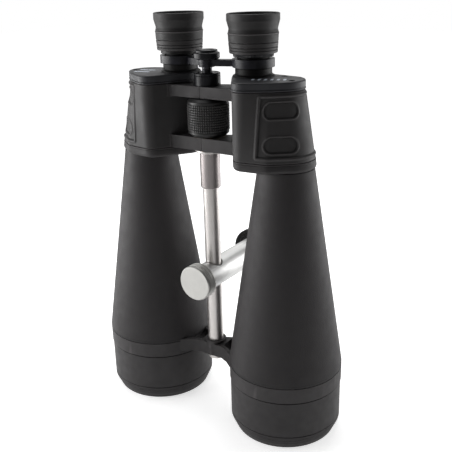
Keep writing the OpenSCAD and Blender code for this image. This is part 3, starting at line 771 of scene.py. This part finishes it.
def corner_arc(height, inset, radius, rising, steps=5):
    """Levels of a rounded edge of a plate: rising from its foot to its side, or from side to top."""
    levels = []
    for k in range(steps + 1):
        a = math.pi / 2 * k / steps
        if rising:
            levels.append((height + radius * (1 - math.cos(a)), inset + radius * (1 - math.sin(a))))
        else:
            levels.append((height - radius * (1 - math.sin(a)), inset + radius * (1 - math.cos(a))))
    return levels


def hump(distance, half_width):
    """Smooth ridge of height 1 along distance 0."""
    share = min(1.0, abs(distance) / half_width)
    return (1 - share * share) ** 2


def step_down(distance, width):
    """0 outside an outline and -1 inside it, with a smooth slope between."""
    share = min(1.0, max(0.0, -distance / width))
    return -share * share * (3 - 2 * share)


def rectangle_distance(x, y, low, high, corner):
    """Distance outside a rectangle with rounded corners."""
    across = abs(x - (low[0] + high[0]) / 2) - (high[0] - low[0]) / 2 + corner
    along = abs(y - (low[1] + high[1]) / 2) - (high[1] - low[1]) / 2 + corner
    outside = math.hypot(max(across, 0.0), max(along, 0.0))
    return outside + min(max(across, along), 0.0) - corner


# The grip pattern, as distances round the plan and heights: two corners of the panel,
# and for each oval its middle height and its two ends.
PANEL = ((25.0, 247.2), (84.0, 294.2))
OVALS = ((257.6, 30.2, 56.5), (283.4, 28.4, 59.8))
OVAL_HALF = 6.7


def grip_relief(distance, height):
    """Grip pattern of the armour: a framed panel with two sunken, rimmed ovals."""
    panel = rectangle_distance(distance, height, *PANEL, 1.5)
    relief = 0.75 * hump(panel, 1.8) + 0.55 * step_down(panel + 0.8, 1.0)
    for middle, start, end in OVALS:
        oval = rectangle_distance(distance, height, (start, middle - OVAL_HALF),
                                  (end, middle + OVAL_HALF), OVAL_HALF - 0.1)
        relief += 0.4 * hump(oval, 1.1) + 0.85 * step_down(oval + 0.4, 1.0)
    return relief


def build_armour(side):
    """Rubber skin with its grip pattern, open round the hinge lugs."""
    node = "housing_armour_" + side
    thickness, low_edge, high_edge, row = 1.8, 0.8, 1.0, 0.4
    lower_lug, upper_lug, front, back, reach, gap = 254.3, 287.0, 11.6, 13.0, 44.0, 0.2
    levels = corner_arc(FOOT, 0, low_edge, True)
    rise = TOP - high_edge - (FOOT + low_edge)
    rows = round(rise / row)
    levels += [(FOOT + low_edge + rise * k / rows, 0, True) for k in range(1, rows)]
    levels += corner_arc(TOP, 0, high_edge, False)
    levels += [(TOP - (TOP - FOOT) * k / 8, thickness) for k in range(9)]
    patterned = (PANEL[0][0] - 3, PANEL[1][0] + 3)
    shell = loft("armour", levels, stations(1.5, 0.4, patterned), grip_relief)
    openings = [block((-5, -front - gap, FOOT - 1), (reach, back + gap, lower_lug + gap)),
                block((-5, -front - gap, upper_lug - gap), (reach, back + gap, TOP + 1))]
    stand_for(mirrored(cut(shell, *openings), side), node, "armour_rubber")


def build_housing(side):
    """Prism housing casting with its hinge lugs."""
    node = "prism_housing_" + side
    stand_for(eased(node, 0.5), node, "matte_black_casting")


SCREW_PLACES = (Vector((77.9, 1.1, 0)), Vector((60.7, 20.4, 0)))


def build_cover(side):
    """Cover plate: rounded edge, a bead at its foot, and counterbores for its screws."""
    node = "cover_plate_" + side
    foot, top = (corner.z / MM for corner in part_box(node))
    guide_r, head_r, head_depth, shank_r = 14.82, 2.7, 2.32, 1.4
    levels = corner_arc(foot, -0.45, 0.4, True, 3)
    levels += [(foot + 0.8, -0.45), (foot + 1.1, -0.3), (foot + 1.3, 0.1), (foot + 1.6, 0.1),
               (foot + 1.9, -0.2)]
    levels += corner_arc(top, -0.2, 1.3, False, 6)
    body = plate("cover", levels, stations(0.9))
    tools = [drill(guide_r, EYEPIECE, foot - 1, top + 1)]
    for spot in SCREW_PLACES:
        tools.append(drill(head_r, spot, top - head_depth, top + 1, segments=48))
        tools.append(drill(shank_r, spot, foot - 1, top - 2, segments=24))
    stand_for(mirrored(cut(body, *tools), side), node, "matte_black_casting/cover")


def build_mark(side):
    """Plain printed bars on the cover plate; they carry no lettering."""
    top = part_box("cover_plate_" + side)[1].z / MM
    thick, facets = 0.05, 24
    if side == "right":
        start, end, count, length, width = Vector((48, -6.4)), Vector((70.5, 3.6)), 6, 8.0, 2.3
    else:
        start, end, count, length, width = Vector((64, -7)), Vector((66.5, 4)), 2, 15.0, 3.2
    points, faces = [], []
    across = (end - start).normalized()
    along = across.orthogonal()
    for k in range(count):
        spot = start.lerp(end, k / (count - 1))
        rim = []
        for corner in range(facets):
            a = math.tau * corner / facets
            bulge = Vector((math.cos(a), math.sin(a))) * width / 2
            shift = (length - width) / 2 * (1 if math.cos(a) > 0 else -1)
            rim.append(spot + along * (bulge.x + shift) + across * bulge.y)
        base = len(points)
        points += [(p.x, p.y, z) for z in (top, top + thick) for p in rim]
        faces += [tuple(range(base, base + facets)), tuple(range(base + facets, base + 2 * facets))]
        faces += [tuple(base + i for i in quad) for quad in bands(facets, 2, 1)]
    obj = mirrored(solid("cover_mark_" + side, points, faces), side)
    obj.data.materials.append(finish("print"))
    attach(obj, side + "_half")


def build_screws(side):
    """Cap screws with a hexagon socket."""
    node = "cover_screws_" + side
    foot, head_top = (corner.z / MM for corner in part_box(node))
    head_r, head_h, shank_r = 2.4, 1.4, 1.3
    parts = []
    for spot in SCREW_PLACES:
        spot = spot.copy()
        spot.x *= SIDES[side]
        screw = lathe("screw", [
            (0, foot), (shank_r, foot, 0.3), (shank_r, head_top - head_h),
            (head_r, head_top - head_h, 0.1), (head_r, head_top, 0.35), (0, head_top)],
            spot, segments=48)
        parts.append(cut(screw, drill(1.25, spot, head_top - 0.9, head_top + 1, segments=6)))
    stand_for(joined(parts), node, "black_steel")


def joined(parts):
    """One object from several."""
    work = bmesh.new()
    for part in parts:
        work.from_mesh(part.data)
    work.to_mesh(parts[0].data)
    work.free()
    for part in parts[1:]:
        bpy.data.objects.remove(part)
    parts[0].data.set_sharp_from_angle(angle=SHARP)
    return parts[0]


def build_base_plate(side):
    """Closes the housing's foot: beaded upper edge, rounded lower edge, hollow inside."""
    node = "base_plate_" + side
    foot, top = (corner.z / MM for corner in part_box(node))
    neck, wall, floor_h, round_r = 22.02, 1.8, 3.0, 3.6
    levels = corner_arc(foot, 0.05, round_r, True, 8)
    levels += [(top - 1.7, 0.05), (top - 1.4, 0.25), (top - 1.1, 0.25), (top - 0.85, -0.1),
               (top - 0.2, -0.1), (top, 0.15)]
    places = stations(0.9)
    body = plate("base", levels, places)
    room = plate("room", [(foot + floor_h, round_r + wall), (FOOT + 1, round_r + wall)], places)
    cut(room, drill(neck + wall, OBJECTIVE, foot, top + 2))
    stand_for(mirrored(cut(body, room, drill(neck, OBJECTIVE, foot - 1, top + 1)), side),
              node, "matte_black_casting")


# ---- eyepieces and focusing bridge ----

def build_guide(side):
    """Sleeve in which the eyepiece tube slides, flared where it meets the cover."""
    node = "eyepiece_guide_" + side
    guide = Turned(node)
    slide = Turned("eyepiece_tube_" + side)
    r, flare, cover = 14.8, guide.radius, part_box("cover_plate_" + side)[1].z / MM
    bore = slide.radius + 0.05
    stand_for(lathe("guide", [
        (bore, guide.start), (r, guide.start), (r, cover + GAP), (flare, cover + GAP, 0.2),
        (flare - 0.2, cover + 0.7, 0.3), (r + 0.3, cover + 1.7, 0.5), (r, cover + 2.6, 0.5),
        *groove(r, guide.end - 1.0, 0.3, 0.3, 0.1, 0.2),
        (r, guide.end, 0.4), (bore, guide.end, 0.3)], slide.centre), node, "satin_black")


def build_arm(side):
    """Arm of the focusing bridge with its ring."""
    node = "bridge_arm_" + side
    stand_for(eased(node, 0.45), node, "gloss_black")


def build_eyepiece_tube(side):
    """Sliding tube of the eyepiece with its field stop."""
    node = "eyepiece_tube_" + side
    tube = Turned(node)
    r, step_r, step_z, bore, stop_r, stop_z = tube.radius, 12.2, 297.0, 12.0, 9.6, 309.0
    stand_for(lathe("tube", [
        (step_r - 1.4, tube.start), (step_r, tube.start, 0.3), (step_r, step_z + 0.2),
        (r, step_z + 0.2, 0.3), (r, tube.end, 0.3), (bore, tube.end, 0.2), (bore, stop_z),
        (stop_r, stop_z), (stop_r, stop_z - 2), (step_r - 1.4, stop_z - 2)], tube.centre),
        node, "satin_black")


def build_ocular(side):
    """Eyepiece head; the left one carries a fixed collar in place of the dioptre ring."""
    node = "ocular_tube_" + side
    tube = Turned(node)
    centre = Turned("eyepiece_tube_" + side).centre
    head_r, head_z, foot_r, bore, window = 14.5, 319.5, 11.95, 10.5, 9.05
    ring = Turned("dioptre_ring")
    lens_top = Turned("eye_lens_" + side).end + 0.4
    outline = [(bore, tube.start), (foot_r, tube.start, 0.3), (foot_r, head_z)]
    if side == "left":
        outline += [(ring.radius - 0.3, head_z), (ring.radius, head_z + 0.4, 0.2),
                    (ring.radius, ring.end, 0.3), (head_r, ring.end)]
    else:
        outline += [(head_r, head_z, 0.2)]
    outline += [(head_r, tube.end, 0.5), (window + 3.2, tube.end, 0.3), (window, lens_top + 1.0, 0.2),
                (window, lens_top), (bore, lens_top)]
    stand_for(lathe("ocular", outline, centre), node, "satin_black")


def build_dioptre():
    """Turning ring with a fine straight knurl."""
    ring = Turned("dioptre_ring")
    bore, teeth, depth = 14.55, 90, 0.3

    def relief(angle, height, radius):
        if radius < ring.radius - 0.05 or abs(height - (ring.start + ring.end) / 2) > 0.75:
            return 0
        return -depth * (0.5 - 0.5 * math.cos(angle * teeth))

    middle = (ring.start + ring.end) / 2
    stand_for(lathe("ring", [
        (bore, ring.start, 0.1), (ring.radius, ring.start, 0.35), (ring.radius, middle - 0.7),
        (ring.radius, middle), (ring.radius, middle + 0.7), (ring.radius, ring.end, 0.35),
        (bore, ring.end, 0.1)], ring.centre, segments=teeth * 6, relief=relief),
        "dioptre_ring", "gloss_black")


def build_eyecup(side):
    """Soft eyecup: grooved body, a ridge, a waist and a flared band with a thin rim."""
    node = "eyecup_" + side
    cup = Turned(node)
    foot, top, r, bore = cup.start, cup.end, cup.radius, 14.6
    outline = [(bore, foot), (19.1, foot, 0.6)]
    for z, body_r in ((foot + 2.4, 19.35), (foot + 4.6, 19.5), (foot + 8.4, 19.75)):
        outline += groove(body_r, z, 0.5, 0.4, 0.1, 0.2)
    ridge = top - EYECUP_RIDGE
    outline += [
        (20.0, ridge - 0.9, 0.6), (20.3, ridge - 0.3, 0.3), (20.3, ridge + 0.3, 0.3),
        (19.9, ridge + 0.8, 0.6),
        (19.35, top - 11.6, 3.0), (r - 0.35, top - 6.6, 1.6), (r, top - 5.4, 1.2),
        (r, top - 0.5, 0.5), (r - 0.7, top, 0.4), (r - 1.5, top - 0.3, 0.4), (r - 1.9, top - 2.4, 1.5),
        (r - 2.4, top - 5.6, 1.5), (17.7, top - 10.5, 2.0), (17.2, 336.4, 1.0), (bore, 335.4)]
    stand_for(lathe("eyecup", outline, cup.centre), node, "eyecup_rubber")


# ---- tripod post ----

def build_post():
    """Tripod post."""
    stand_for(eased("tripod_post", 0.5), "tripod_post", "satin_aluminium/post")


def build_foot():
    """Foot disc of the post, with two rings in its face and a groove round its side."""
    foot = Turned("foot_disc", "y")
    bore = Turned("tripod_insert", "y").radius + GAP
    outline = [(bore, foot.start), (12.2, foot.start)]
    for ring_r in (14.2, 16.6):
        outline += [(ring_r - 0.5, foot.start, 0.1), (ring_r - 0.3, foot.start + 0.6, 0.1),
                    (ring_r + 0.5, foot.start + 0.6, 0.1), (ring_r + 0.7, foot.start, 0.1)]
    outline += [(foot.radius, foot.start, 0.7), *groove(foot.radius, foot.start + 3.0, 0.4, 0.8, 0.5, 0.2),
                (foot.radius, foot.end, 0.7), (bore, foot.end, 0.2)]
    stand_for(lathe("foot", outline, foot.centre, "y"), "foot_disc", "foot_rubber")


def build_insert():
    """Brass insert with the tripod thread."""
    insert = Turned("tripod_insert", "y")
    thread_r, pitch, depth = 2.55, 1.27, 12.0
    wall = []
    turns = int((depth - 1.5) / pitch)
    for k in range(turns):
        y = insert.end - 0.8 - pitch * k
        wall += [(thread_r, y), (thread_r + 0.5, y - pitch / 2)]
    outline = [(0, insert.start), (insert.radius, insert.start, 0.3), (insert.radius, insert.end, 0.3),
               (thread_r + 0.5, insert.end)] + wall
    outline += [(thread_r, insert.end - depth), (0, insert.end - depth)]
    stand_for(lathe("insert", outline, insert.centre, "y", segments=96), "tripod_insert", "brass")


def build_knob():
    """Round clamp knob on its screw."""
    knob = Turned("clamp_knob", "y")
    front, back, screw_r, r = knob.start, -18.3, 3.0, knob.radius
    outline = [(0, front), (r - 0.9, front, 0.3), (r - 0.1, front + 0.9, 0.4), (r, front + 2.0, 0.5)]
    for y in (front + 3.2, front + 5.0, back - 2.4):
        outline += groove(r, y, 0.5, 0.3, 0.15, 0.1)
    outline += [(r, back, 0.9), (screw_r, back)] + thread(screw_r, back + 1, knob.end - 1)
    outline += [(screw_r, knob.end), (0, knob.end)]
    stand_for(lathe("knob", outline, knob.centre, "y"), "clamp_knob", "satin_aluminium/knob")


# ---- studio ----

CAMERA_DISTANCE = 604.0


def build_studio():
    """Pale floor, white surroundings and soft lamps that keep their place round the camera."""
    scene = bpy.context.scene
    scene.view_settings.view_transform = "Standard"
    scene.view_settings.look = "None"

    azimuth, elevation, roll = math.radians(35.1), math.radians(19.9), math.radians(-1.5)
    aim = Vector((14.7, 0, 176.6))
    back = Vector((math.sin(azimuth) * math.cos(elevation),
                   -math.cos(azimuth) * math.cos(elevation), math.sin(elevation)))
    data = bpy.data.cameras.new("camera")
    data.sensor_width = 36.0
    data.lens = 55.8
    data.clip_start = 0.01
    camera = bpy.data.objects.new("camera", data)
    scene.collection.objects.link(camera)
    camera.rotation_mode = "QUATERNION"
    camera.location = (aim + back * CAMERA_DISTANCE) * MM
    camera.rotation_quaternion = (-back).to_track_quat("-Z", "Y") @ Quaternion((0, 0, 1), roll)
    scene.camera = camera

    floor = plane("floor", 4000)
    floor.data.materials.append(floor_finish())
    surround()
    # name, place from the point the camera aims at, size, power in watts
    lamp("left", camera, Vector((-750, 100, -60)), (400, 900), 6)
    lamp("right", camera, Vector((750, 150, -150)), (400, 900), 4)
    lamp("top", camera, Vector((-50, 800, -50)), (800, 600), 5)
    lamp("back", camera, Vector((0, 480, -760)), (1500, 500), 2)


def plane(name, half):
    """Square on the ground, with half its side given."""
    points = [(-half, -half, 0), (half, -half, 0), (half, half, 0), (-half, half, 0)]
    return solid(name, points, [(0, 1, 2, 3)])


def floor_finish():
    """White paper that runs into the white surroundings away from the object, clear from below."""
    g = Graph("floor", (0.9, 0.9, 0.9), 0.8, specular=0.1)
    g.tint(g.span(g.noise(300), 0.4, 0.6, 0.0, 0.3), (0.86, 0.86, 0.87))
    g.bump(g.noise(3), 0.02)
    away = g.node("ShaderNodeVectorMath", {0: g.place}, operation="LENGTH").outputs["Value"]
    glow = g.span(away, 0.15, 0.9, 0.6, 1.0)
    bounce = g.span(away, 0.2, 0.6, 0.42, 0.1)
    seen = g.node("ShaderNodeLightPath").outputs["Is Camera Ray"]
    strength = g.node("ShaderNodeMix", {0: seen, 2: bounce, 3: glow}, data_type="FLOAT")
    g.shader.inputs["Emission Color"].default_value = (1, 1, 1, 1)
    g.tree.links.new(strength.outputs[0], g.shader.inputs["Emission Strength"])
    below = g.node("ShaderNodeNewGeometry").outputs["Backfacing"]
    clear = g.node("ShaderNodeBsdfTransparent").outputs["BSDF"]
    surface = g.node("ShaderNodeMixShader", {0: below, 1: g.shader.outputs["BSDF"], 2: clear})
    g.tree.links.new(surface.outputs[0], g.tree.nodes["Material Output"].inputs["Surface"])
    return g.material


def surround():
    """White behind the object as the camera sees it; dimmer light from all round."""
    world = bpy.data.worlds.new("studio")
    bpy.context.scene.world = world
    world.use_nodes = True
    tree = world.node_tree
    background = tree.nodes["Background"]
    background.inputs["Color"].default_value = (1, 1, 1, 1)
    seen = tree.nodes.new("ShaderNodeLightPath").outputs["Is Camera Ray"]
    strength = tree.nodes.new("ShaderNodeMapRange")
    strength.inputs["To Min"].default_value = 0.1
    strength.inputs["To Max"].default_value = 1.0
    tree.links.new(seen, strength.inputs["Value"])
    tree.links.new(strength.outputs["Result"], background.inputs["Strength"])


def lamp(name, camera, place, size, watts):
    """Soft rectangular lamp; its place runs right, up and towards the camera from the aim point."""
    data = bpy.data.lights.new(name, "AREA")
    data.shape = "RECTANGLE"
    data.size, data.size_y = (s * MM for s in size)
    data.energy = watts
    obj = bpy.data.objects.new(name, data)
    bpy.context.scene.collection.objects.link(obj)
    obj.parent = camera
    obj.visible_camera = False
    aim = Vector((0, 0, -CAMERA_DISTANCE))
    spot = aim + place
    obj.location = spot * MM
    obj.rotation_mode = "QUATERNION"
    obj.rotation_quaternion = (aim - spot).to_track_quat("-Z", "Y")


# ---- assembly ----

# Parts that keep their CAD shape, with the finish of each.
CAD_SLOTS = {
    "hinge_axle": "black_steel", "wheel_core": "brass", "spindle_key": "brass",
    "flint_lens": "lens_glass", "lens_retainer": "satin_black", "objective_prism": "prism_glass",
    "eyepiece_prism": "prism_glass", "prism_clips": "spring_steel", "post_bush": "black_nylon",
    "pressure_pad": "black_nylon",
}

build_rod()
build_top_collar()
build_cap()
build_wheel()
build_spindle()
for side in SIDES:
    build_barrel(side)
    build_cell(side)
    build_lenses(side)
    build_brace(side)
    build_armour(side)
    build_housing(side)
    build_cover(side)
    build_mark(side)
    build_screws(side)
    build_base_plate(side)
    build_guide(side)
    build_arm(side)
    build_eyepiece_tube(side)
    build_ocular(side)
    build_eyecup(side)
build_dioptre()
build_post()
build_foot()
build_insert()
build_knob()

for node, obj in frame["nodes"].items():
    part = node.removesuffix("_right").removesuffix("_left")
    if part in CAD_SLOTS:
        obj.data.materials.clear()
        obj.data.materials.append(finish(CAD_SLOTS[part]))

build_studio()
